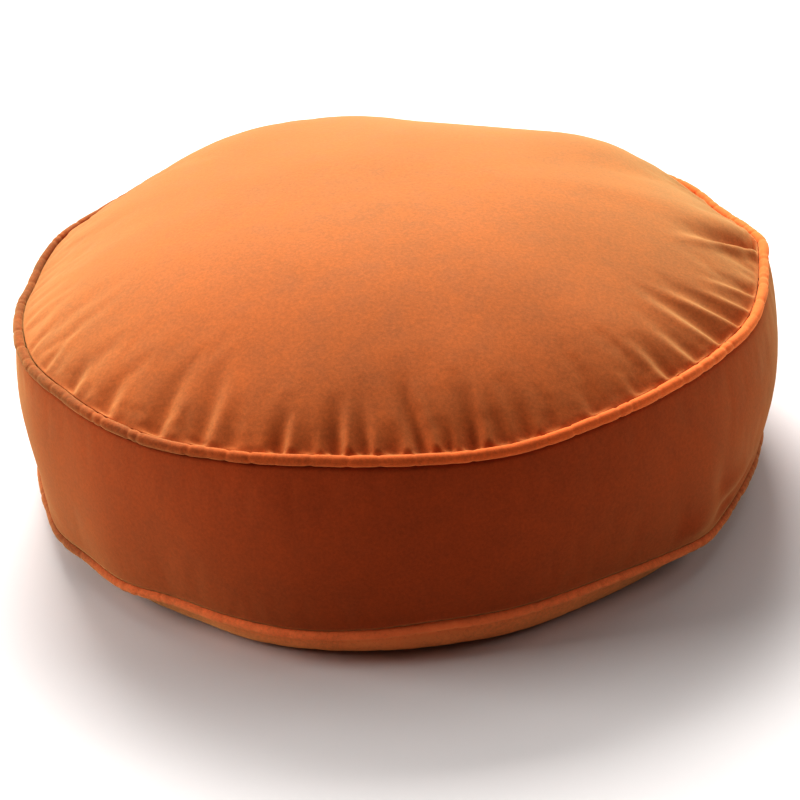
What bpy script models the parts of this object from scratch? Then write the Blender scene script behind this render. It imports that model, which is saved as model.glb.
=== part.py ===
"""A round boxed floor cushion in short-pile velvet.

One filled body, with a domed top panel, a band and a pressed bottom panel, and a closed ring of covered
piping in each of its two seams. Metres, +Z up, standing on z = 0, the front towards -Y.
"""

import bpy
from math import atan2, cos, degrees, exp, hypot, pi, radians, sin

# Driving sizes, in metres
SEAM_RADIUS = 0.225         # centre line of the top piping
LOWER_SEAM_RADIUS = 0.227   # centre line of the bottom piping
BAND_HEIGHT = 0.104         # between the two centre lines
TOP_CROWN = 0.0615          # the top panel's dome above its seam
BOTTOM_CROWN = 0.0205       # the bottom panel below its seam, pressed by the filling's weight
PIPING_RADIUS = 0.0032
CLEARANCE = 0.0003          # between the piping and the panels that hold it
CROWN_POWER = 2.7           # 2 is a plain parabola, more is flatter on top and fuller at the rim
BULGE_POWER = 0.7           # the band's bulge: 1 is a sine, less is fuller next to the seams

# The middle of the seams' circles. The right side bulges more, so this centres the whole outline
CIRCLE_MIDDLE = (-0.0043, -0.0003)

LOWER_SEAM_HEIGHT = BOTTOM_CROWN
SEAM_HEIGHT = LOWER_SEAM_HEIGHT + BAND_HEIGHT
TOTAL_HEIGHT = SEAM_HEIGHT + TOP_CROWN
MM = 0.001

# Mesh density. Stations crowd together at the front, where the folds are closest
STATIONS_ROUND = 168
FRONT_CROWDING = 0.42
PIPING_SIDES = 6
GROOVE_POINTS = 4

# Where rings of points lie: inward from the top seam, and down the band as a share of its height
TOP_RINGS_MM = (3, 7, 12, 18, 26, 38, 56, 85, 125, 175)
BAND_RINGS = (0.07, 0.24, 0.50, 0.76, 0.93)

# The groove that holds the piping runs round its inner side, as directions in degrees:
# 0 points outward and 90 up
TOP_GROOVE = (150, 290)
BOTTOM_GROOVE = (70, 215)

# The bottom panel's rim, rolled under the weight: inward from the lower seam, and height
ROLLED_RIM = (
    # in_mm, height_mm
    (2.0, 14.0),
    (3.4, 8.2),
    (6.6, 3.4),
    (12.5, 0.8),
    (21.0, 0.0),
)
FOOT_RING_MM = 120.0

# How far each seam wanders from a true circle. Turn is the angle round the cushion in degrees,
# 0 at the front, 90 at the right and -90 at the left
TOP_SEAM = (
    # turn, out_mm, up_mm
    (-170, 1.0, 4.0),
    (-146, 2.5, 5.1),
    (-140, 1.9, 3.7),
    (-132, 0.1, 0.2),
    (-123, -0.3, -0.5),
    (-112, 0.4, 0.4),
    (-104, -1.5, -1.3),
    (-96, -3.5, -2.1),
    (-88, -2.2, -0.7),
    (-78, -0.6, 0.0),
    (-68, 0.6, -0.2),
    (-57, -0.8, 0.6),
    (-47, 0.1, -0.1),
    (-36, 0.7, -0.9),
    (-24, -0.2, 0.4),
    (-10, -1.0, 1.6),
    (2, -0.3, 0.5),
    (15, 0.8, -1.2),
    (28, -0.6, 0.8),
    (42, -1.2, 1.4),
    (54, -0.4, 0.4),
    (66, 1.6, -0.7),
    (77, 1.0, -0.1),
    (84, 1.7, 0.3),
    (91, 4.1, 1.8),
    (98, 0.3, 0.1),
    (106, -2.8, -2.5),
    (116, -1.6, -2.1),
    (126, -1.6, -2.5),
    (134, -0.8, -1.4),
    (144, 0.9, 1.9),
    (165, 0.5, 2.5),
)
BOTTOM_SEAM = (
    # turn, out_mm, up_mm
    (-175, 0.5, 0.0),
    (-150, -0.6, 0.5),
    (-120, 0.8, -0.4),
    (-97, -1.0, 0.2),
    (-84, -3.0, 0.4),
    (-72, -2.5, 0.3),
    (-63, 0.9, -0.5),
    (-54, -0.4, 0.3),
    (-45, 1.0, -0.9),
    (-35, -1.0, 1.1),
    (-26, 0.4, -0.5),
    (-16, 1.6, -2.2),
    (-6, 0.8, -1.1),
    (3, -0.6, 0.9),
    (14, -0.9, 1.2),
    (28, -2.0, 2.4),
    (38, -0.5, 0.6),
    (48, 2.6, -2.2),
    (54, 0.8, -0.6),
    (61, -1.2, 0.6),
    (72, -2.4, 0.4),
    (84, -2.2, 0.3),
    (98, -0.5, 0.2),
    (125, 0.7, -0.4),
    (155, -0.6, 0.4),
)

# How far the band bulges between its seams, and how far the bottom panel's rim is tucked under
BAND_BULGE = (
    # turn, out_mm
    (-135, 5.0),
    (-90, 3.0),
    (-55, 4.5),
    (0, 6.0),
    (45, 6.5),
    (75, 8.5),
    (105, 8.0),
    (150, 6.0),
)
RIM_TUCK = (
    # turn, in_mm
    (180, 4.0),
    (-60, 7.0),
    (-34, 5.0),
    (-22, 0.0),
    (12, 0.0),
    (30, 5.5),
    (70, 7.0),
)

# Soft swells and hollows of the top panel
CROWN_SWELLS = (
    # turn, radius_mm, spread_mm, up_mm
    (-130, 170, 45, 3.6),
    (-152, 170, 45, 5.9),
    (-173, 170, 45, 3.9),
    (166, 170, 45, -3.3),
    (145, 170, 45, -2.9),
    (125, 170, 45, 7.8),
    (-40, 120, 60, 1.5),
    (60, 150, 50, -1.2),
)

# The puckers that draw the top panel in along its seam. A row runs inward from its turn by its reach,
# and its inner end is turned by its lean
TOP_FOLDS = (
    # turn, lean, reach_mm, width_mm, depth_mm
    (-100, 3.0, 30, 6.0, 1.6),
    (-91, -2.0, 26, 5.0, 2.0),
    (-80, -2.0, 30, 5.0, 1.2),
    (-72, -2.0, 30, 4.0, 1.2),
    (-66, -2.0, 30, 4.5, 1.5),
    (-60, -2.5, 30, 5.0, 1.5),
    (-52, -3.0, 26, 5.5, 2.6),
    (-45, -2.0, 24, 5.5, 2.4),
    (-35, -1.5, 34, 7.0, 2.6),
    (-28, -1.5, 42, 6.5, 2.8),
    (-23, -0.5, 16, 4.0, 1.6),
    (-16, -0.5, 20, 5.0, 2.6),
    (-8, -1.0, 28, 5.0, 3.0),
    (-4, -0.5, 25, 4.0, 2.4),
    (0, 0.0, 12, 3.5, 1.6),
    (4, -3.0, 44, 4.5, 3.2),
    (7, 0.0, 13, 3.5, 2.0),
    (10, 0.8, 30, 4.5, 3.2),
    (17, 0.5, 18, 5.0, 1.6),
    (27, 0.0, 18, 6.0, 1.4),
    (35, 0.0, 20, 6.0, 1.4),
    (43, -0.7, 28, 6.0, 2.0),
    (50, -2.0, 26, 6.0, 1.8),
    (57, -3.5, 52, 7.0, 3.2),
    (63, -4.0, 34, 4.5, 2.4),
    (68, -1.0, 26, 5.0, 2.4),
    (75, -4.0, 30, 5.0, 2.0),
    (88, -9.0, 52, 9.0, 4.2),
    (99, -6.0, 34, 6.0, 2.4),
)

# Folds from the right side round the back to the left. Each pair is a middle value and how far single
# folds differ from it
BACK_FOLDS = 13
BACK_FIRST_TURN = 110.0
BACK_SPACING = (11.4, 2.6)
BACK_LEAN = (0.0, 2.5)
BACK_REACH_MM = (30.0, 9.0)
BACK_DEPTH_MM = (2.8, 0.9)
BACK_WIDTH_MM = 8.0

# A pucker's shape: how soon it opens behind the stitching, and its hollow's share of its width
FOLD_ONSET_MM = 4.0
FOLD_HOLLOW = 0.6

# Dents and swells of the band. Level is the share of its height, 0 at the top seam
BAND_SWELLS = (
    # turn, level, spread_deg, spread_level, out_mm
    (-84, 0.35, 12.0, 0.25, 1.8),
    (-78, 0.85, 14.0, 0.20, -2.5),
    (-62, 0.30, 9.0, 0.30, 0.9),
    (-38, 0.45, 8.0, 0.35, -0.8),
    (-18, 0.18, 5.0, 0.16, 1.2),
    (10, 0.55, 12.0, 0.30, -0.7),
    (47, 0.88, 3.5, 0.12, 2.2),
    (54, 0.72, 2.5, 0.30, -2.4),
    (66, 0.40, 9.0, 0.30, 0.8),
    (74, 0.85, 12.0, 0.20, -1.5),
    (118, 0.50, 10.0, 0.30, -1.2),
    (150, 0.45, 11.0, 0.30, 1.0),
    (-165, 0.55, 10.0, 0.30, -1.1),
    (-128, 0.40, 11.0, 0.35, 1.1),
    (-96, 0.60, 7.0, 0.30, -1.2),
)

# Where the stitching holds the cloth flat: a share of the band, and a width of the top panel
HELD_SHARE = 0.1
HELD_RIM = 0.020

VELVET = (0.52, 0.155, 0.040, 1.0)
PIPING_VELVET = (0.46, 0.125, 0.030, 1.0)


def ease(share):
    """A smooth step from 0 to 1."""
    share = min(max(share, 0.0), 1.0)
    return share * share * (3.0 - 2.0 * share)


def turn_between(turn, other):
    """The angle from one turn to another, from -180 to 180 degrees."""
    return (turn - other + 180.0) % 360.0 - 180.0


def round_value(rows, column, turn):
    """A table's column at any turn: a smooth closed curve through its rows."""
    rows = sorted(rows)
    count = len(rows)
    turns = [row[0] for row in rows]
    after = next((k for k in range(count) if turns[k] > turn), 0)

    def at(k):
        laps, place = divmod(k, count)
        return turns[place] + 360.0 * laps, rows[place][column]

    if after == 0 and turn >= turns[-1]:
        after = count
    (t0, v0), (t1, v1), (t2, v2), (t3, v3) = (at(after + k) for k in (-2, -1, 0, 1))
    share = (turn - t1) / (t2 - t1)
    slope_1 = (v2 - v0) / (t2 - t0) * (t2 - t1)
    slope_2 = (v3 - v1) / (t3 - t1) * (t2 - t1)
    s2, s3 = share * share, share * share * share
    return (v1 * (2 * s3 - 3 * s2 + 1) + slope_1 * (s3 - 2 * s2 + share)
            + v2 * (3 * s2 - 2 * s3) + slope_2 * (s3 - s2))


def back_folds():
    """Folds of the half that faces away, each a little unlike the last."""
    def uneven(middle, spread, pace, k):
        return middle + spread * sin(pace * k + 0.6)

    for k in range(BACK_FOLDS):
        turn = BACK_FIRST_TURN + BACK_SPACING[0] * k + uneven(0.0, BACK_SPACING[1], 2.4, k)
        lean = uneven(*BACK_LEAN, 3.3, k)
        reach = uneven(*BACK_REACH_MM, 1.7, k)
        depth = uneven(*BACK_DEPTH_MM, 2.9, k)
        yield (turn_between(turn, 0.0), lean, reach, BACK_WIDTH_MM, depth)


ALL_TOP_FOLDS = TOP_FOLDS + tuple(back_folds())


def groove(radius, height, directions):
    """Points of the groove round a piping, which keeps its clearance between the points too."""
    first, last = directions
    step = (last - first) / (GROOVE_POINTS - 1)
    reach = (PIPING_RADIUS + CLEARANCE) / cos(radians(step / 2.0))
    turns = [radians(first + step * k) for k in range(GROOVE_POINTS)]
    return [(radius + reach * cos(a), height + reach * sin(a)) for a in turns]


def body_outline():
    """The cushion's half section as (radius, height), from the top's centre down to the foot's."""
    upper = groove(SEAM_RADIUS, SEAM_HEIGHT, TOP_GROOVE)
    lower = groove(LOWER_SEAM_RADIUS, LOWER_SEAM_HEIGHT, BOTTOM_GROOVE)
    rim, rim_height = upper[0]
    outline = [(0.0, TOTAL_HEIGHT)]
    for inward in reversed(TOP_RINGS_MM):
        radius = rim - inward * MM
        share = 1.0 - (radius / rim) ** CROWN_POWER
        outline.append((radius, rim_height + (TOTAL_HEIGHT - rim_height) * share))
    outline += upper
    for level in BAND_RINGS:
        radius = upper[-1][0] + (lower[0][0] - upper[-1][0]) * level
        outline.append((radius, upper[-1][1] + (lower[0][1] - upper[-1][1]) * level))
    outline += lower
    outline += [(LOWER_SEAM_RADIUS - inward * MM, height * MM) for inward, height in ROLLED_RIM]
    outline += [(FOOT_RING_MM * MM, 0.0), (0.0, 0.0)]
    return outline


def piping_outline(radius, height):
    """A ring's section, as a closed loop that runs down its outer side."""
    turns = [2.0 * pi * k / PIPING_SIDES for k in range(PIPING_SIDES)]
    return [(radius + PIPING_RADIUS * cos(a), height - PIPING_RADIUS * sin(a)) for a in turns]


def turned(name, outline, closed, collection):
    """An outline turned about Z, as a plain mesh object."""
    mesh = bpy.data.meshes.new(name + "_outline")
    edges = [(k, k + 1) for k in range(len(outline) - 1)]
    if closed:
        edges.append((len(outline) - 1, 0))
    mesh.from_pydata([(radius, 0.0, height) for radius, height in outline], edges, [])
    profile = bpy.data.objects.new(name + "_outline", mesh)
    collection.objects.link(profile)
    screw = profile.modifiers.new("turn", "SCREW")
    screw.steps = STATIONS_ROUND
    screw.render_steps = STATIONS_ROUND
    screw.use_merge_vertices = True
    screw.merge_threshold = 0.00005
    evaluated = profile.evaluated_get(bpy.context.evaluated_depsgraph_get())
    piece = bpy.data.objects.new(name, bpy.data.meshes.new_from_object(evaluated))
    piece.data.name = name
    collection.objects.link(piece)
    bpy.data.objects.remove(profile)
    return piece


def seam_shift(rows, turn):
    """How far a seam wanders outward and upward at a turn, in metres."""
    return round_value(rows, 1, turn) * MM, round_value(rows, 2, turn) * MM


def fold_depth(turn, radius, inward):
    """How deep the puckers press the top panel at a point, in metres."""
    total = 0.0
    for fold_turn, lean, reach, width, depth in ALL_TOP_FOLDS:
        along = inward / (reach * MM)
        if along < 1.0:
            across = radians(turn_between(turn, fold_turn + lean * along)) * radius
            if abs(across) < 3.0 * width * MM:
                rise = ease(inward / (FOLD_ONSET_MM * MM)) * (1.0 - ease(along))
                total += depth * MM * rise * exp(-((across / (width * FOLD_HOLLOW * MM)) ** 2))
    return total


def crown_swell(turn, radius):
    """The top panel's soft unevenness at a point, in metres."""
    x, y = radius * sin(radians(turn)), -radius * cos(radians(turn))
    total = 0.0
    for swell_turn, swell_radius, spread, up in CROWN_SWELLS:
        angle = radians(swell_turn)
        across = hypot(x - swell_radius * MM * sin(angle), y + swell_radius * MM * cos(angle))
        total += up * MM * exp(-((across / (spread * MM)) ** 2))
    return total


def shape_top(turn, radius, height, rim):
    """A point of the top panel, with its wander, swells and puckers."""
    out, up = seam_shift(TOP_SEAM, turn)
    share = radius / rim
    inward = rim - radius
    free = ease(inward / HELD_RIM)
    height += up * share ** 4 + crown_swell(turn, radius) * free - fold_depth(turn, radius, inward)
    return radius + out * share ** 2, height


def shape_band(turn, radius, height, top, bottom):
    """A point between the seams, carried by both and bulged outward."""
    level = min(max((top - height) / (top - bottom), 0.0), 1.0)
    upper, lower = seam_shift(TOP_SEAM, turn), seam_shift(BOTTOM_SEAM, turn)
    out = upper[0] + (lower[0] - upper[0]) * level
    up = upper[1] + (lower[1] - upper[1]) * level
    bulge = round_value(BAND_BULGE, 1, turn) * MM * sin(pi * level) ** BULGE_POWER
    free = ease(level / HELD_SHARE) * ease((1.0 - level) / HELD_SHARE)
    for swell_turn, swell_level, spread, spread_level, swell in BAND_SWELLS:
        across = turn_between(turn, swell_turn) / spread
        along = (level - swell_level) / spread_level
        bulge += swell * MM * exp(-across * across - along * along) * free
    return radius + out + bulge, height + up


def shape_rim(turn, radius, height, start):
    """A point of the bottom panel, from its seam to the flat foot."""
    out, up = seam_shift(BOTTOM_SEAM, turn)
    hold = height / start
    tuck = round_value(RIM_TUCK, 1, turn) * MM * (1.0 - hold) * (1.0 + hold)
    return radius + out * hold - tuck, height + up * hold


def shape_body(body):
    """Give the turned body its real unevenness."""
    upper = groove(SEAM_RADIUS, SEAM_HEIGHT, TOP_GROOVE)
    lower = groove(LOWER_SEAM_RADIUS, LOWER_SEAM_HEIGHT, BOTTOM_GROOVE)
    slack = CLEARANCE / 3.0
    for point in body.data.vertices:
        radius, height = hypot(point.co.x, point.co.y), point.co.z
        turn = warped_turn(point.co)
        if height > upper[0][1] + slack:
            radius, height = shape_top(turn, radius, height, upper[0][0])
        elif height > upper[-1][1] - slack:
            out, up = seam_shift(TOP_SEAM, turn)
            radius, height = radius + out, height + up
        elif height > lower[0][1] + slack:
            radius, height = shape_band(turn, radius, height, upper[-1][1], lower[0][1])
        elif height > lower[-1][1] - slack:
            out, up = seam_shift(BOTTOM_SEAM, turn)
            radius, height = radius + out, height + up
        else:
            radius, height = shape_rim(turn, radius, height, lower[-1][1])
        place(point, turn, radius, height)


def shape_piping(ring, seam):
    """Let a ring follow its seam."""
    for point in ring.data.vertices:
        turn = warped_turn(point.co)
        out, up = seam_shift(seam, turn)
        place(point, turn, hypot(point.co.x, point.co.y) + out, point.co.z + up)


def warped_turn(point):
    """A point's turn, with the even steps crowded towards the front."""
    turn = atan2(point.x, -point.y)
    return degrees(turn - FRONT_CROWDING * sin(turn))


def place(point, turn, radius, height):
    """Set a mesh point from its turn, radius and height."""
    angle = radians(turn)
    x, y = CIRCLE_MIDDLE
    point.co = (x + radius * sin(angle), y - radius * cos(angle), height)


def finish(piece, material_name, colour):
    """Shade a piece smooth and give it its own plain velvet."""
    piece.data.shade_smooth()
    material = bpy.data.materials.new(material_name)
    material.use_nodes = True
    shader = material.node_tree.nodes["Principled BSDF"]
    shader.inputs["Base Color"].default_value = colour
    shader.inputs["Roughness"].default_value = 0.9
    shader.inputs["Metallic"].default_value = 0.0
    piece.data.materials.clear()
    piece.data.materials.append(material)


def make_body(collection):
    """The filled cushion."""
    body = turned("cushion_body", body_outline(), False, collection)
    shape_body(body)
    finish(body, "velvet", VELVET)


def make_piping(name, radius, height, seam, collection):
    """One closed ring of covered piping."""
    ring = turned(name, piping_outline(radius, height), True, collection)
    shape_piping(ring, seam)
    finish(ring, name + "_velvet", PIPING_VELVET)


def main():
    for old in list(bpy.data.objects):
        bpy.data.objects.remove(old)
    cushion = bpy.data.collections.new("meditation_cushion")
    bpy.context.scene.collection.children.link(cushion)
    make_body(cushion)
    make_piping("piping_top", SEAM_RADIUS, SEAM_HEIGHT, TOP_SEAM, cushion)
    make_piping("piping_bottom", LOWER_SEAM_RADIUS, LOWER_SEAM_HEIGHT, BOTTOM_SEAM, cushion)


main()
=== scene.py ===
"""The looks of a round boxed floor cushion in short-pile velvet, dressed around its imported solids.

Metres, +Z up, the front towards -Y. A turn is the angle round the cushion in degrees: 0 at the front,
90 at the right and -90 at the left. Inward is the distance from the top seam along the top panel.
"""

from math import cos, pi, radians, sin

import bpy
import numpy as np
from mathutils import Matrix, Vector
from mathutils.kdtree import KDTree


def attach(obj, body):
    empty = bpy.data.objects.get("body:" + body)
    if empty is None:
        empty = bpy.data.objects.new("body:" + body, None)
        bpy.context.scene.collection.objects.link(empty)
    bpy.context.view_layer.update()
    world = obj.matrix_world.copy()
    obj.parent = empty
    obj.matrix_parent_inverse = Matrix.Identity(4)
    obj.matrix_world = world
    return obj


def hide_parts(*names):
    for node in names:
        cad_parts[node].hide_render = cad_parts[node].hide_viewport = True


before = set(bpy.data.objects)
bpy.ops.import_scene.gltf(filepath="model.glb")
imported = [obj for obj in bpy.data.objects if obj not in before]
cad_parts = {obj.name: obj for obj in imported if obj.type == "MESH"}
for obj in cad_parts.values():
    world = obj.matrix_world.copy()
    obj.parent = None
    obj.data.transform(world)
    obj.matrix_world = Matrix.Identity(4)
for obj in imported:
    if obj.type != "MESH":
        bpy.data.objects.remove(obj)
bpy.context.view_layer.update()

MM = 0.001

# The solids' driving sizes
CIRCLE_MIDDLE = (-0.0043, -0.0003)
SEAM_RADIUS = 0.225
LOWER_SEAM_RADIUS = 0.227
LOWER_SEAM_HEIGHT = 0.0205
SEAM_HEIGHT = LOWER_SEAM_HEIGHT + 0.104
TOTAL_HEIGHT = SEAM_HEIGHT + 0.0615
PIPING_RADIUS = 0.0032
SEAM_GAP = 0.0001
CROWN_POWER = 2.7
BULGE_POWER = 0.7
TOP_GROOVE = (150, 290)
BOTTOM_GROOVE = (70, 215)

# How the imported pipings' rings of points are told apart, in degrees. The first lies just past the back
FIRST_TURN = 180.5
STATION_GAP = 0.3

# The fine skin's density. Stations crowd together at the front, where the folds are closest
SKIN_STATIONS = 640
FRONT_CROWDING = 0.30
TOP_RINGS = 74
TOP_RING_POWER = 1.55
POLE_RADIUS = 0.004
SEAM_RISE_POWER = 4
SEAM_SHIFT_POWER = 2
GROOVE_POINTS = 6
BAND_RINGS = 40
FOOT_RINGS_MM = (30.0, 45.0, 70.0, 110.0, 160.0)
RIM_RINGS = 14
PIPING_STATIONS = 1440
PIPING_SIDES = 14

# How far the band bulges between its seams, and how far the bottom panel's rim is tucked under
BAND_BULGE = (
    # turn, out_mm
    (-135, 5.0),
    (-90, 3.0),
    (-55, 4.5),
    (0, 6.0),
    (45, 6.5),
    (75, 8.5),
    (105, 8.0),
    (150, 6.0),
)
RIM_TUCK = (
    # turn, in_mm
    (-180, 4.0),
    (-60, 7.0),
    (-34, 5.0),
    (-22, 0.0),
    (12, 0.0),
    (30, 5.5),
    (70, 7.0),
)

# The bottom panel's rim, rolled under the weight: inward from the lower seam, and height
ROLLED_RIM = (
    # in_mm, height_mm
    (2.0, 14.0),
    (3.4, 8.2),
    (6.6, 3.4),
    (12.5, 0.8),
    (21.0, 0.0),
)

# Soft swells and hollows of the top panel
CROWN_SWELLS = (
    # turn, radius_mm, spread_mm, up_mm
    (-130, 170, 45, 3.6),
    (-152, 170, 45, 5.9),
    (-173, 170, 45, 3.9),
    (166, 170, 45, -3.3),
    (145, 170, 45, -2.9),
    (125, 170, 45, 7.8),
    (-40, 120, 60, 1.5),
    (60, 150, 50, -1.2),
    (-14, 195, 32, 1.4),
    (13, 195, 32, 2.2),
    (38, 195, 32, 1.6),
)

# The puckers of the top panel. A row runs inward from its turn by its reach, and its inner end is
# turned by its lean. Ridge is the height of the roll beside the hollow, as a share of its depth
TOP_FOLDS = (
    # turn, lean, reach_mm, width_mm, depth_mm, ridge
    (-100, 3.0, 26, 4.0, 0.9, 0.4),
    (-91, -2.0, 24, 3.4, 1.2, 0.4),
    (-80, -2.0, 30, 3.0, 0.5, 0.4),
    (-71, -2.5, 34, 2.8, 0.7, 0.4),
    (-64, -2.5, 36, 3.2, 0.8, 0.4),
    (-55, -3.0, 27, 4.8, 2.0, 0.35),
    (-46, -2.5, 26, 6.0, 2.4, 0.35),
    (-36, -1.7, 38, 6.6, 2.6, 0.3),
    (-28.5, -1.5, 48, 5.8, 2.3, 0.45),
    (-23.5, -0.5, 20, 4.0, 0.8, 0.4),
    (-20, -0.5, 12, 2.4, 0.4, 0.4),
    (-16.5, -0.5, 23, 4.0, 3.7, 0.5),
    (-12, -0.5, 14, 3.2, 1.5, 0.4),
    (-8.3, -1.0, 31, 4.0, 4.3, 0.5),
    (-4.3, -1.2, 27, 3.6, 3.3, 0.45),
    (-0.3, 0.0, 17, 4.2, 2.9, 0.4),
    (3.6, -3.0, 46, 4.2, 4.6, 0.5),
    (7, 0.0, 18, 3.2, 3.1, 0.4),
    (10.4, 0.6, 32, 4.6, 4.6, 0.5),
    (14.6, -0.6, 34, 3.6, 1.7, 0.4),
    (18, 0.3, 22, 4.2, 2.5, 0.4),
    (22, 0.5, 14, 3.4, 1.4, 0.4),
    (29, 0.0, 20, 5.4, 1.6, 0.4),
    (37, 0.0, 22, 5.4, 1.7, 0.4),
    (43.5, -0.7, 32, 5.4, 2.8, 0.4),
    (50, -2.0, 32, 5.2, 2.0, 0.4),
    (57, -3.5, 54, 6.0, 3.2, 0.4),
    (63.5, -6.0, 54, 5.4, 3.2, 0.4),
    (68.5, -4.5, 34, 3.6, 1.8, 0.4),
    (73.5, -6.0, 36, 4.0, 2.2, 0.4),
    (89, -10.0, 58, 8.2, 6.6, 0.6),
    (101, -7.0, 36, 4.6, 2.2, 0.4),
)

# Folds from the right side round the back to the left. Single folds differ from a middle value by up to
# a spread, at a pace from fold to fold
BACK_FOLDS = 13
BACK_FIRST_TURN = 110.0
BACK_SPACING = 11.4
BACK_PHASE = 0.6
BACK_WIDTH_MM = 5.0
BACK_RIDGE = 0.4
BACK_UNEVENNESS = {
    # name: middle, spread, pace
    "shift": (0.0, 2.6, 2.4),
    "lean": (0.0, 2.5, 3.3),
    "reach_mm": (30.0, 9.0, 1.7),
    "depth_mm": (3.0, 0.9, 2.9),
}

# A pucker starts a little inside the seam. The roll beside its hollow has a place and a spread in
# shares of the pucker's width
FOLD_ONSET_MM = 2.4
ROLL_PLACE = 1.9
ROLL_SPREAD = 0.9

# A pucker is sharper and has its higher roll on one side: the side of larger turns in front and at the
# left, and the other side at the right
SHARP_SIDE = 0.75
SOFT_SIDE = 1.4
SOFT_ROLL = 0.35
CHANGE_OF_SIDE = 25.0

# Dents and swells of the band. Level is the share of its height, 0 at the top seam
BAND_SWELLS = (
    # turn, level, spread_deg, spread_level, out_mm
    (-84, 0.35, 12.0, 0.25, 1.8),
    (-78, 0.85, 14.0, 0.20, -2.5),
    (-62, 0.30, 9.0, 0.30, 0.9),
    (-38, 0.45, 8.0, 0.35, -0.8),
    (-18, 0.18, 5.0, 0.16, 1.2),
    (10, 0.55, 12.0, 0.30, -0.7),
    (45, 0.90, 3.0, 0.10, 2.4),
    (50.5, 0.70, 2.2, 0.16, -1.6),
    (56, 0.80, 5.5, 0.08, 2.2),
    (53, 0.97, 3.5, 0.10, -4.5),
    (61, 0.97, 5.5, 0.10, -3.5),
    (66, 0.40, 9.0, 0.30, 0.8),
    (74, 0.85, 12.0, 0.20, -1.5),
    (118, 0.50, 10.0, 0.30, -1.2),
    (150, 0.45, 11.0, 0.30, 1.0),
    (-165, 0.55, 10.0, 0.30, -1.1),
    (-128, 0.40, 11.0, 0.35, 1.1),
    (-96, 0.60, 7.0, 0.30, -1.2),
)

# Beside a seam the cloth keeps its line: over a share of the band's height, and this far in on the top
HELD_SHARE = 0.1
HELD_RIM = 0.020

# The cloth simulation that wrinkles the cover: where the cloth is held, and how it behaves
HELD_FOOT = 0.0015
HELD_STITCHING = 0.007
CLOTH_VOXEL = 0.005
CLOTH_QUALITY = 6
CLOTH_STIFFNESS = 20.0
CLOTH_BENDING = 0.3
CLOTH_PRESSURE = 4.0
CLOTH_SLACK = 0.02
CLOTH_FRAMES = 20
SMOOTHING_ROUNDS = 60
MOST_WRINKLE = 0.003
LEAST_DISTANCE = 1e-9

# A point of the cover takes its wrinkle from its nearest points of the simulated cloth
NEAREST_POINTS = 4
NEAREST_BLUR = CLOTH_VOXEL / 10.0

# The crimps of the pipings' covers, each size from its least to its most, and the rings' slight wobble
CRIMP_SPACING_MM = (5.0, 22.0)
CRIMP_SLANT_MM = (-1.6, 1.6)
CRIMP_WIDTH_MM = (0.9, 2.2)
CRIMP_DEPTH_MM = (0.12, 0.55)
WOBBLE_MM = 0.25
WOBBLE_WAVES = (11.0, 37.0)
UPPER_SEED = 3
LOWER_SEED = 8

# How much of the simulated wrinkles each place keeps: the top's middle is pulled smooth
KEPT_AT_RIM = 0.5
KEPT_IN_MIDDLE = 0.06
SMOOTH_RADIUS = 0.125
KEPT_ON_BAND = 0.22

# The velvets, a colour for each piece. The band's colour is partly painted shade, darker than the top's,
# and the bottom panel and lower piping are painted lighter, painted light in place of light bounced up from
# the floor in front
TOP_COLOUR = (0.455, 0.108, 0.0275)
BAND_COLOUR_WITH_PAINTED_SHADE = (0.312, 0.0535, 0.0130)
BOTTOM_COLOUR_WITH_PAINTED_LIGHT = (0.690, 0.235, 0.090)
UPPER_PIPING_COLOUR = (0.585, 0.122, 0.0310)
LOWER_PIPING_COLOUR_WITH_PAINTED_LIGHT = (0.685, 0.178, 0.0650)
VELVET_CONTRAST = 0.30
VELVET_NOISES = (
    # name, cycles_a_metre, detail, share
    ("patches", 14.0, 2.0, 0.22),
    ("brushed", 75.0, 3.0, 0.20),
    ("pile", 520.0, 2.0, 0.36),
    ("fibre", 1500.0, 1.0, 0.22),
)
NOISE_SPREAD = (0.3, 0.7)
VELVET_ROUGHNESS = (0.82, 0.95)
BUMP_STRENGTH = 0.2
BUMP_HEIGHT = 0.0002
BUMP_SHARES = (("pile", 0.5), ("fibre", 0.5))
SPECULAR_LEVEL = 0.15
TOP_SHEEN = (0.40, 0.43, 0.21, 1.0)
SIDE_SHEEN = (0.42, 0.35, 0.16, 1.0)
SHEEN_ROUGHNESS = 0.55

# Velvet painted lighter or darker along an axis, as painted light and shade: axis, dark_at, light_at, share
# Painted light and shade on the upper piping: darker at the left, lighter towards the right
PAINTED_LIGHT_TO_RIGHT = ("X", -SEAM_RADIUS, SEAM_RADIUS, 0.90)
# Painted light on the bottom panel and lower piping: lighter towards the front
PAINTED_LIGHT_TO_FRONT = ("Y", -0.12, -SEAM_RADIUS, 0.75)
# Painted shade on the band: darker towards the back, where the lights behind fall strongest, lighter
# towards the front
PAINTED_SHADE_TO_BACK = ("Y", 0.15, 0.0, 0.39)

# The floor
FLOOR_SIZE = 12.0
FLOOR_DROP = 0.0005
FLOOR_COLOUR = (0.71, 0.683, 0.67, 1.0)
FLOOR_ROUGHNESS = 0.9

# The surround and the lights, each seen from the cushion at a turn and a rise in degrees
SURROUND_COLOUR = (1.0, 1.0, 1.0, 1.0)
SURROUND_STRENGTH = 0.04
LIGHT_SIZE = 4.0
LIGHT_DISTANCE = 7.5
LIGHT_AIM = Vector((0.0, 0.0, 0.1))
LIGHTS = (
    # name, turn, rise, watts
    ("window", -174, 40, 690),
    ("window_left", -140, 35, 70),
    ("high_left", -140, 58, 75),
    ("high_right", 140, 58, 90),
    ("left", -95, 30, 300),
    ("right", 95, 30, 125),
)

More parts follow.
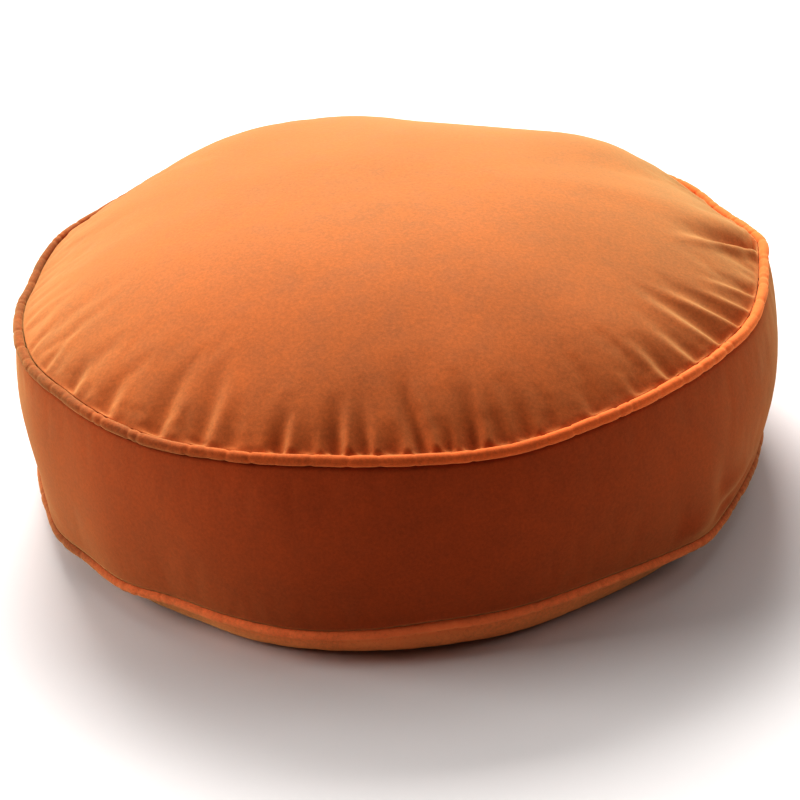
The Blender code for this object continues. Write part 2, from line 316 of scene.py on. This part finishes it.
# The camera, at the photograph's angle: its lens in pixels of an 800-pixel picture, elevation and roll
# in degrees, and its distance from the point it looks at
PICTURE_WIDTH = 800.0
SENSOR_WIDTH = 36.0
LENS_PIXELS = 2200.0
ELEVATION = 28.91
ROLL = -4.07
DISTANCE = 1.381
CLIP_START = 0.01
CAMERA_TARGET = Vector((-0.0020, -0.0003, 0.0372))


def ease(share):
    """A smooth step from 0 to 1."""
    share = np.clip(share, 0.0, 1.0)
    return share * share * (3.0 - 2.0 * share)


def turn_between(turn, other):
    """The angle from one turn to another, from -180 to 180 degrees."""
    return (turn - other + 180.0) % 360.0 - 180.0


def through(knots, values, turns):
    """A smooth closed curve through values at knots in degrees, read at turns."""
    knots = np.concatenate((knots[-2:] - 360.0, knots, knots[:3] + 360.0))
    values = np.concatenate((values[-2:], values, values[:3]))
    k = np.clip(np.searchsorted(knots, turns, side="right") - 1, 1, len(knots) - 3)
    t0, t1, t2, t3 = knots[k - 1], knots[k], knots[k + 1], knots[k + 2]
    v0, v1, v2, v3 = values[k - 1], values[k], values[k + 1], values[k + 2]
    share = (turns - t1) / (t2 - t1)
    slope_1 = (v2 - v0) / (t2 - t0) * (t2 - t1)
    slope_2 = (v3 - v1) / (t3 - t1) * (t2 - t1)
    s2, s3 = share ** 2, share ** 3
    return (v1 * (2 * s3 - 3 * s2 + 1) + slope_1 * (s3 - 2 * s2 + share)
            + v2 * (3 * s2 - 2 * s3) + slope_2 * (s3 - s2))


def table_value(rows, turns):
    """A two-column table's value at turns."""
    rows = np.array(sorted(rows), float)
    return through(rows[:, 0], rows[:, 1], turns)


def turn_radius_height(points):
    """Points in space as turn, radius and height."""
    x = points[:, 0] - CIRCLE_MIDDLE[0]
    y = points[:, 1] - CIRCLE_MIDDLE[1]
    return np.degrees(np.arctan2(x, -y)), np.hypot(x, y), points[:, 2]


def halfway(values):
    """The middle between the least and the greatest value."""
    return (values.min() + values.max()) / 2.0


class SeamLine:
    """The centre line of a packed piping ring, as radius and height over the turn."""

    def __init__(self, node):
        points = np.array([v.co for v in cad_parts[node].data.vertices], float)
        turn, radius, height = turn_radius_height(points)
        turn = (turn + FIRST_TURN) % 360.0 - FIRST_TURN
        order = np.argsort(turn)
        stations = np.split(order, np.flatnonzero(np.diff(turn[order]) > STATION_GAP) + 1)
        self.turn = np.array([turn[s].mean() for s in stations])
        self.radius = np.array([halfway(radius[s]) for s in stations])
        self.height = np.array([halfway(height[s]) for s in stations])

    def at(self, turns):
        """The seam's radius and height at turns."""
        return through(self.turn, self.radius, turns), through(self.turn, self.height, turns)


upper_seam = SeamLine("piping_top")
lower_seam = SeamLine("piping_bottom")


def place(turn, radius, height):
    """Points in space from turn, radius and height."""
    angle = np.radians(turn)
    x = CIRCLE_MIDDLE[0] + radius * np.sin(angle)
    y = CIRCLE_MIDDLE[1] - radius * np.cos(angle)
    return np.stack(np.broadcast_arrays(x, y, height), axis=-1)


def stations_round(count, crowding):
    """Turns round the cushion, crowded towards the front."""
    even = np.linspace(-pi, pi, count, endpoint=False)
    return np.degrees(even - crowding * np.sin(even))


def back_folds():
    """Folds of the half that faces away, each a little unlike the last."""
    for k in range(BACK_FOLDS):
        shift, lean, reach, depth = (middle + spread * sin(pace * k + BACK_PHASE)
                                     for middle, spread, pace in BACK_UNEVENNESS.values())
        turn = turn_between(BACK_FIRST_TURN + BACK_SPACING * k + shift, 0.0)
        yield turn, lean, reach, BACK_WIDTH_MM, depth, BACK_RIDGE


def fold_depth(turn, radius, inward):
    """How deep the puckers press the top panel."""
    total = np.zeros(np.broadcast(turn, inward).shape)
    for fold_turn, lean, reach, width, depth, ridge in TOP_FOLDS + tuple(back_folds()):
        along = inward / (reach * MM)
        across = np.radians(turn_between(turn, fold_turn + lean * along)) * radius / (width * MM)
        sharp = across > 0.0 if fold_turn < CHANGE_OF_SIDE else across < 0.0
        across = np.abs(across) / np.where(sharp, SHARP_SIDE, SOFT_SIDE)
        rise = ease(inward / (FOLD_ONSET_MM * MM)) * (1.0 - ease(along))
        roll = ridge * np.where(sharp, 1.0, SOFT_ROLL)
        hollow = np.exp(-across ** 2) - roll * np.exp(-((across - ROLL_PLACE) / ROLL_SPREAD) ** 2)
        total += depth * MM * rise * hollow
    return total


def crown_swell(turn, radius):
    """The top panel's soft unevenness."""
    point = place(turn, radius, 0.0)
    total = np.zeros(point.shape[:-1])
    for swell_turn, swell_radius, spread, up in CROWN_SWELLS:
        middle = place(float(swell_turn), swell_radius * MM, 0.0)
        across = np.linalg.norm(point - middle, axis=-1) / (spread * MM)
        total += up * MM * np.exp(-across ** 2)
    return total


def groove(directions):
    """Offsets of the groove round a piping's inner side, outward and upward."""
    angles = np.radians(np.linspace(*directions, GROOVE_POINTS))
    reach = PIPING_RADIUS + SEAM_GAP
    return reach * np.cos(angles), reach * np.sin(angles)


def top_rings(turn):
    """The top panel, from its middle out to the piping."""
    out, up = groove(TOP_GROOVE)
    rim, rim_height = SEAM_RADIUS + out[0], SEAM_HEIGHT + up[0]
    share = np.linspace(1.0, 0.0, TOP_RINGS, endpoint=False)[:, None]
    inward = (rim - POLE_RADIUS) * share ** TOP_RING_POWER
    radius = rim - inward
    height = rim_height + (TOTAL_HEIGHT - rim_height) * (1.0 - (radius / rim) ** CROWN_POWER)
    seam_radius, seam_height = upper_seam.at(turn)
    reach = radius / rim
    height = height + (seam_height - SEAM_HEIGHT) * reach ** SEAM_RISE_POWER
    height = height + crown_swell(turn, radius) * ease(inward / HELD_RIM)
    height = height - fold_depth(turn, radius, inward)
    return radius + (seam_radius - SEAM_RADIUS) * reach ** SEAM_SHIFT_POWER, height


def groove_rings(turn, seam, directions):
    """The groove that holds a piping."""
    out, up = groove(directions)
    radius, height = seam.at(turn)
    return radius + out[:, None], height + up[:, None]


def band_rings(turn):
    """The band, carried by both seams and bulged outward."""
    upper_out, upper_up = groove(TOP_GROOVE)
    lower_out, lower_up = groove(BOTTOM_GROOVE)
    upper_radius, upper_height = upper_seam.at(turn)
    lower_radius, lower_height = lower_seam.at(turn)
    level = np.linspace(0.0, 1.0, BAND_RINGS + 2)[1:-1, None]
    start_radius, end_radius = upper_radius + upper_out[-1], lower_radius + lower_out[0]
    start_height, end_height = upper_height + upper_up[-1], lower_height + lower_up[0]
    radius = start_radius + (end_radius - start_radius) * level
    height = start_height + (end_height - start_height) * level
    bulge = table_value(BAND_BULGE, turn) * MM * np.sin(pi * level) ** BULGE_POWER
    free = ease(level / HELD_SHARE) * ease((1.0 - level) / HELD_SHARE)
    for swell_turn, swell_level, spread, spread_level, swell in BAND_SWELLS:
        across = turn_between(turn, swell_turn) / spread
        along = (level - swell_level) / spread_level
        bulge = bulge + swell * MM * np.exp(-across ** 2 - along ** 2) * free
    return radius + bulge, height


def rim_rings(turn):
    """The bottom panel's rolled rim and its flat foot."""
    out, up = groove(BOTTOM_GROOVE)
    start_radius = LOWER_SEAM_RADIUS + out[-1]
    start = LOWER_SEAM_HEIGHT + up[-1]
    rim = np.array([(start_radius, start)]
                   + [(LOWER_SEAM_RADIUS - inward * MM, height * MM) for inward, height in ROLLED_RIM])
    lengths = np.concatenate(([0.0], np.cumsum(np.linalg.norm(np.diff(rim, axis=0), axis=1))))
    places = np.linspace(0.0, lengths[-1], RIM_RINGS + 1)[1:]
    radius = np.interp(places, lengths, rim[:, 0])[:, None]
    height = np.interp(places, lengths, rim[:, 1])[:, None]
    seam_radius, seam_height = lower_seam.at(turn)
    hold = height / start
    tuck = table_value(RIM_TUCK, turn) * MM * (1.0 - hold) * (1.0 + hold)
    radius = radius + (seam_radius - LOWER_SEAM_RADIUS) * hold - tuck
    height = height + (seam_height - LOWER_SEAM_HEIGHT) * hold
    foot = LOWER_SEAM_RADIUS - np.array(FOOT_RINGS_MM)[:, None] * MM + 0.0 * turn
    return np.concatenate((radius, foot)), np.concatenate((height, 0.0 * foot))


def grid_mesh(name, points, closed_ends):
    """A mesh of rings of points. Closed ends join its first and last rings to points at their middles,
    and otherwise the last ring joins the first."""
    rings, stations = points.shape[:2]
    index = np.arange(rings * stations).reshape(rings, stations)
    after = np.roll(index, -1, axis=1)
    if closed_ends:
        quads = np.stack((index[:-1], index[1:], after[1:], after[:-1]), axis=-1).reshape(-1, 4)
        flat = points.reshape(-1, 3)
        count = len(flat)
        flat = np.concatenate((flat, [points[0].mean(axis=0)], [points[-1].mean(axis=0)]))
        top = [(count, a, b) for a, b in zip(index[0].tolist(), after[0].tolist())]
        foot = [(count + 1, b, a) for a, b in zip(index[-1].tolist(), after[-1].tolist())]
        faces = quads.tolist() + top + foot
    else:
        below, below_after = np.roll(index, -1, axis=0), np.roll(after, -1, axis=0)
        faces = np.stack((index, below, below_after, after), axis=-1).reshape(-1, 4).tolist()
        flat = points.reshape(-1, 3)
    mesh = bpy.data.meshes.new(name)
    mesh.from_pydata(flat.tolist(), [], faces)
    mesh.update()
    mesh.shade_smooth()
    return mesh


def new_object(name, data):
    """An object in the scene."""
    made = bpy.data.objects.new(name, data)
    bpy.context.scene.collection.objects.link(made)
    return made


def add_piece(name, mesh, materials, replaced):
    """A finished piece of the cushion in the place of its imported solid."""
    piece = new_object(name, mesh)
    for material in materials:
        mesh.materials.append(material)
    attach(piece, "root")
    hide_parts(replaced)
    return piece


def cover_points():
    """Rings of points of the whole cover, from the top's middle down to the foot's."""
    turn = stations_round(SKIN_STATIONS, FRONT_CROWDING)[None, :]
    sections = (
        top_rings(turn),
        groove_rings(turn, upper_seam, TOP_GROOVE),
        band_rings(turn),
        groove_rings(turn, lower_seam, BOTTOM_GROOVE),
        rim_rings(turn),
    )
    return np.concatenate([place(turn, radius, height) for radius, height in sections])


def held_points(points):
    """Where stitching or the foot holds the cloth still."""
    turn, radius, height = turn_radius_height(points)
    held = height < HELD_FOOT
    for seam in (upper_seam, lower_seam):
        seam_radius, seam_height = seam.at(turn)
        held |= np.hypot(radius - seam_radius, height - seam_height) < HELD_STITCHING
    return held


def mesh_points(mesh):
    """A mesh's points as rows of three numbers."""
    points = np.empty(len(mesh.vertices) * 3)
    mesh.vertices.foreach_get("co", points)
    return points.reshape(-1, 3)


def smoothed(values, edges, rounds):
    """Values on a mesh's points, evened out along its edges."""
    count = len(values)
    near = np.bincount(edges.ravel(), minlength=count)[:, None]
    for _ in range(rounds):
        total = np.empty_like(values)
        for axis in range(3):
            total[:, axis] = np.bincount(edges[:, 0], values[edges[:, 1], axis], count)
            total[:, axis] += np.bincount(edges[:, 1], values[edges[:, 0], axis], count)
        values = 0.5 * values + 0.5 * total / near
    return values


def evenly_meshed(mesh):
    """A closed copy of a mesh in even small faces, as an object of its own."""
    shape = new_object("cloth_shape", mesh)
    remesh = shape.modifiers.new("even", "REMESH")
    remesh.mode = "VOXEL"
    remesh.voxel_size = CLOTH_VOXEL
    evaluated = shape.evaluated_get(bpy.context.evaluated_depsgraph_get())
    cloth = new_object("cloth", bpy.data.meshes.new_from_object(evaluated))
    bpy.data.objects.remove(shape)
    return cloth


def add_filling(cloth, held):
    """Cloth with pressure inside and a little slack, kept still at the points that are held."""
    group = cloth.vertex_groups.new(name="held")
    group.add(np.flatnonzero(held).tolist(), 1.0, "REPLACE")
    filling = cloth.modifiers.new("filling", "CLOTH")
    settings = filling.settings
    settings.quality = CLOTH_QUALITY
    settings.tension_stiffness = CLOTH_STIFFNESS
    settings.compression_stiffness = CLOTH_STIFFNESS
    settings.bending_stiffness = CLOTH_BENDING
    settings.use_pressure = True
    settings.uniform_pressure_force = CLOTH_PRESSURE
    settings.vertex_group_mass = group.name
    settings.shrink_min = -CLOTH_SLACK
    settings.effector_weights.gravity = 0.0
    filling.point_cache.frame_end = CLOTH_FRAMES


def cloth_wrinkles(mesh):
    """Blows a slightly slack copy of the cover up, held at its seams, and gives the places of its
    points and the small wrinkles there as moves."""
    cloth = evenly_meshed(mesh)
    start = mesh_points(cloth.data)
    add_filling(cloth, held_points(start))
    for step in range(1, CLOTH_FRAMES + 1):
        bpy.context.scene.frame_set(step)
    evaluated = cloth.evaluated_get(bpy.context.evaluated_depsgraph_get())
    move = mesh_points(evaluated.data) - start
    edges = np.empty(len(cloth.data.edges) * 2, int)
    cloth.data.edges.foreach_get("vertices", edges)
    move -= smoothed(move, edges.reshape(-1, 2), SMOOTHING_ROUNDS)
    bpy.data.objects.remove(cloth)
    bpy.context.scene.frame_set(1)
    distance = np.linalg.norm(move, axis=1, keepdims=True)
    return start, move * np.minimum(1.0, MOST_WRINKLE / np.maximum(distance, LEAST_DISTANCE))


def wrinkles_kept(points):
    """The share of the simulated wrinkles that each point keeps."""
    turn, radius, height = turn_radius_height(points)
    outer = ease((radius - SMOOTH_RADIUS) / (SEAM_RADIUS - SMOOTH_RADIUS))
    top = KEPT_IN_MIDDLE + (KEPT_AT_RIM - KEPT_IN_MIDDLE) * outer
    seam_height = upper_seam.at(turn)[1]
    return np.where(height > seam_height, top, KEPT_ON_BAND)


def add_wrinkles(mesh):
    """Moves a mesh's points by the wrinkles of the nearest points of the simulated cloth."""
    start, move = cloth_wrinkles(mesh)
    tree = KDTree(len(start))
    for index, point in enumerate(start.tolist()):
        tree.insert(point, index)
    tree.balance()
    points = mesh_points(mesh)
    kept = wrinkles_kept(points)
    for index, point in enumerate(points.tolist()):
        near = tree.find_n(point, NEAREST_POINTS)
        weight = np.array([1.0 / (distance + NEAREST_BLUR) ** 2 for _, _, distance in near])
        points[index] += kept[index] * (weight @ move[[found for _, found, _ in near]]) / weight.sum()
    mesh.vertices.foreach_set("co", points.ravel())
    mesh.update()


def panel_of(turn, radius, height):
    """0 on the top panel, 1 on the band and 2 on the bottom panel, split at the two pipings."""
    upper_radius, upper_height = upper_seam.at(turn)
    lower_radius, lower_height = lower_seam.at(turn)
    panel = np.ones(len(height), int)
    panel[(height > upper_height - PIPING_RADIUS / 2.0) & (radius < upper_radius - PIPING_RADIUS / 2.0)] = 0
    panel[(height < lower_height + PIPING_RADIUS / 2.0) & (radius < lower_radius - PIPING_RADIUS / 2.0)] = 2
    panel[height > upper_height + PIPING_RADIUS] = 0
    panel[height < lower_height - PIPING_RADIUS] = 2
    return panel


def paint_panels(mesh):
    """Gives each face its panel's velvet."""
    middles = np.empty(len(mesh.polygons) * 3)
    mesh.polygons.foreach_get("center", middles)
    panel = panel_of(*turn_radius_height(middles.reshape(-1, 3)))
    mesh.polygons.foreach_set("material_index", panel)
    mesh.update()


def make_cover(materials):
    """The filled cushion's velvet cover, one closed skin."""
    mesh = grid_mesh("cushion_cover", cover_points(), True)
    add_wrinkles(mesh)
    cover = add_piece("cushion_cover", mesh, materials, "cushion_body")
    paint_panels(mesh)


def crimped(rng, turn, around):
    """A covered piping's thickness, with the small crimps of its bias-cut cover."""
    length = 2.0 * pi * SEAM_RADIUS
    run = np.radians(turn) * SEAM_RADIUS + length / 2.0
    thickness = np.full((PIPING_SIDES, PIPING_STATIONS), PIPING_RADIUS)
    crimp = 0.0
    while crimp < length:
        crimp += rng.uniform(*CRIMP_SPACING_MM) * MM
        slant = rng.uniform(*CRIMP_SLANT_MM) * MM
        width = rng.uniform(*CRIMP_WIDTH_MM) * MM
        depth = rng.uniform(*CRIMP_DEPTH_MM) * MM
        across = run - crimp + slant * np.sin(around)
        across = (across + length / 2.0) % length - length / 2.0
        thickness -= depth * np.exp(-(across / width) ** 2)
    return thickness


def make_piping(name, seam, material, replaced, seed):
    """One ring of covered piping."""
    rng = np.random.default_rng(seed)
    turn = stations_round(PIPING_STATIONS, 0.0)[None, :]
    around = np.linspace(0.0, 2.0 * pi, PIPING_SIDES, endpoint=False)[:, None]
    thickness = crimped(rng, turn, around)
    slow, fast = (np.radians(turn) * waves for waves in WOBBLE_WAVES)
    wobble = WOBBLE_MM * MM * np.sin(fast + seed) * np.sin(slow)
    radius, height = seam.at(turn)
    points = place(turn, radius + wobble + thickness * np.cos(around), height - thickness * np.sin(around))
    add_piece(name, grid_mesh(name, points, False), [material], replaced)


def new_material(name):
    """A node material with its Principled BSDF."""
    material = bpy.data.materials.new(name)
    material.use_nodes = True
    return material, material.node_tree.nodes, material.node_tree.links


def ramp(nodes, links, value, source, target):
    """A value stretched from one range to another."""
    node = nodes.new("ShaderNodeMapRange")
    node.inputs["From Min"].default_value = source[0]
    node.inputs["From Max"].default_value = source[1]
    node.inputs["To Min"].default_value = target[0]
    node.inputs["To Max"].default_value = target[1]
    links.new(value, node.inputs["Value"])
    return node.outputs["Result"]


def noise(nodes, links, coords, scale, detail):
    """Noise over the object's own coordinates, in cycles a metre, stretched to reach from 0 to 1."""
    node = nodes.new("ShaderNodeTexNoise")
    node.inputs["Scale"].default_value = scale
    node.inputs["Detail"].default_value = detail
    links.new(coords, node.inputs["Vector"])
    return ramp(nodes, links, node.outputs["Fac"], NOISE_SPREAD, (0.0, 1.0))


def weighted_sum(nodes, links, parts):
    """The sum of values, each times its share."""
    total = None
    for value, share in parts:
        node = nodes.new("ShaderNodeMath")
        node.operation = "MULTIPLY_ADD"
        node.inputs[1].default_value = share
        node.inputs[2].default_value = 0.0
        links.new(value, node.inputs[0])
        if total:
            links.new(total, node.inputs[2])
        total = node.outputs["Value"]
    return total


def shade(colour, factor):
    """A colour made lighter or darker."""
    return tuple(min(1.0, factor * value) for value in colour) + (1.0,)


# The ramp of painted light and shade along an axis
def light_shade_tone(nodes, links, coords, axis, dark_at, light_at):
    """From -1 at one place along an axis to 1 at another, and even beyond them."""
    split = nodes.new("ShaderNodeSeparateXYZ")
    links.new(coords, split.inputs["Vector"])
    return ramp(nodes, links, split.outputs[axis], (dark_at, light_at), (-1.0, 1.0))


def velvet_tones(nodes, links, colour, parts):
    """A colour from darker to lighter, by the sum of values that each have a share."""
    tone = nodes.new("ShaderNodeMix")
    tone.data_type = "RGBA"
    tone.clamp_factor = False
    tone.inputs["A"].default_value = shade(colour, 1.0 - VELVET_CONTRAST)
    tone.inputs["B"].default_value = shade(colour, 1.0 + VELVET_CONTRAST)
    links.new(weighted_sum(nodes, links, parts), tone.inputs["Factor"])
    return tone.outputs["Result"]


def velvet_bump(nodes, links, parts):
    """The pile's grain as a fine bump."""
    bump = nodes.new("ShaderNodeBump")
    bump.inputs["Strength"].default_value = BUMP_STRENGTH
    bump.inputs["Distance"].default_value = BUMP_HEIGHT
    links.new(weighted_sum(nodes, links, parts), bump.inputs["Height"])
    return bump.outputs["Normal"]


def velvet_material(name, colour, sheen, painted_gradient=None):
    """Short-pile velvet: brushed patches, pile and fibre grain, and a strong soft sheen. Given a painted
    gradient, its colour also grows lighter along an axis, as painted light and shade."""
    material, nodes, links = new_material(name)
    shader = nodes["Principled BSDF"]
    coords = nodes.new("ShaderNodeTexCoord").outputs["Object"]
    noises = {row[0]: noise(nodes, links, coords, *row[1:3]) for row in VELVET_NOISES}
    parts = [(noises[row[0]], row[3]) for row in VELVET_NOISES]
    # A painted gradient along an axis: painted light and shade in the base colour
    if painted_gradient:
        parts.append((light_shade_tone(nodes, links, coords, *painted_gradient[:3]), painted_gradient[3]))
    links.new(velvet_tones(nodes, links, colour, parts), shader.inputs["Base Color"])
    roughness = ramp(nodes, links, noises["brushed"], (0.0, 1.0), VELVET_ROUGHNESS)
    links.new(roughness, shader.inputs["Roughness"])
    grain = [(noises[grain_name], share) for grain_name, share in BUMP_SHARES]
    links.new(velvet_bump(nodes, links, grain), shader.inputs["Normal"])
    shader.inputs["Specular IOR Level"].default_value = SPECULAR_LEVEL
    shader.inputs["Sheen Weight"].default_value = 1.0
    shader.inputs["Sheen Roughness"].default_value = SHEEN_ROUGHNESS
    shader.inputs["Sheen Tint"].default_value = sheen
    return material


def plain_material(name, colour, roughness):
    """One even colour, for the floor."""
    material, nodes, _ = new_material(name)
    shader = nodes["Principled BSDF"]
    shader.inputs["Base Color"].default_value = colour
    shader.inputs["Roughness"].default_value = roughness
    return material


def add_floor():
    """A pale plain floor."""
    bpy.ops.mesh.primitive_plane_add(size=FLOOR_SIZE, location=(0.0, 0.0, -FLOOR_DROP))
    floor = bpy.context.object
    floor.name = "floor"
    floor.data.materials.append(plain_material("pale_floor", FLOOR_COLOUR, FLOOR_ROUGHNESS))


def add_area_light(name, turn, rise, power):
    """A soft square light, seen from the cushion at a turn and a rise, in degrees."""
    light = bpy.data.lights.new(name, "AREA")
    light.size = LIGHT_SIZE
    light.energy = power
    lamp = new_object(name, light)
    across, up = cos(radians(rise)), sin(radians(rise))
    direction = Vector((across * sin(radians(turn)), -across * cos(radians(turn)), up))
    lamp.location = LIGHT_AIM + direction * LIGHT_DISTANCE
    lamp.rotation_euler = (-direction).to_track_quat("-Z", "Y").to_euler()


def add_lights():
    """Soft daylight from behind and both sides, and a faint pale surround."""
    world = bpy.data.worlds.new("surround")
    bpy.context.scene.world = world
    world.use_nodes = True
    background = world.node_tree.nodes["Background"]
    background.inputs["Color"].default_value = SURROUND_COLOUR
    background.inputs["Strength"].default_value = SURROUND_STRENGTH
    for row in LIGHTS:
        add_area_light(*row)


def add_camera():
    """The camera, at the photograph's angle."""
    camera = new_object("camera", bpy.data.cameras.new("camera"))
    camera.data.sensor_width = SENSOR_WIDTH
    camera.data.lens = LENS_PIXELS / PICTURE_WIDTH * SENSOR_WIDTH
    camera.data.clip_start = CLIP_START
    rise, tilt = radians(ELEVATION), radians(ROLL)
    back = Vector((0.0, -cos(rise), sin(rise)))
    level, upright = Vector((1.0, 0.0, 0.0)), Vector((0.0, sin(rise), cos(rise)))
    right = cos(tilt) * level + sin(tilt) * upright
    up = cos(tilt) * upright - sin(tilt) * level
    axes = Matrix((right, up, back)).transposed().to_4x4()
    camera.matrix_world = Matrix.Translation(CAMERA_TARGET + back * DISTANCE) @ axes
    bpy.context.scene.camera = camera


bpy.context.scene.view_settings.view_transform = "Standard"
bpy.context.scene.view_settings.look = "High Contrast"
add_camera()
add_lights()
add_floor()
# The band is painted darker towards the back, the bottom panel and lower piping lighter towards the front,
# and the upper piping lighter towards the right: painted light and shade
panel_velvets = [
    velvet_material("velvet_top", TOP_COLOUR, TOP_SHEEN),
    velvet_material("velvet_band", BAND_COLOUR_WITH_PAINTED_SHADE, SIDE_SHEEN, PAINTED_SHADE_TO_BACK),
    velvet_material("velvet_bottom", BOTTOM_COLOUR_WITH_PAINTED_LIGHT, SIDE_SHEEN, PAINTED_LIGHT_TO_FRONT),
]
upper_velvet = velvet_material("velvet_upper_piping", UPPER_PIPING_COLOUR, SIDE_SHEEN, PAINTED_LIGHT_TO_RIGHT)
lower_velvet = velvet_material("velvet_lower_piping", LOWER_PIPING_COLOUR_WITH_PAINTED_LIGHT, SIDE_SHEEN, PAINTED_LIGHT_TO_FRONT)
make_cover(panel_velvets)
make_piping("piping_top_cover", upper_seam, upper_velvet, "piping_top", UPPER_SEED)
make_piping("piping_bottom_cover", lower_seam, lower_velvet, "piping_bottom", LOWER_SEED)
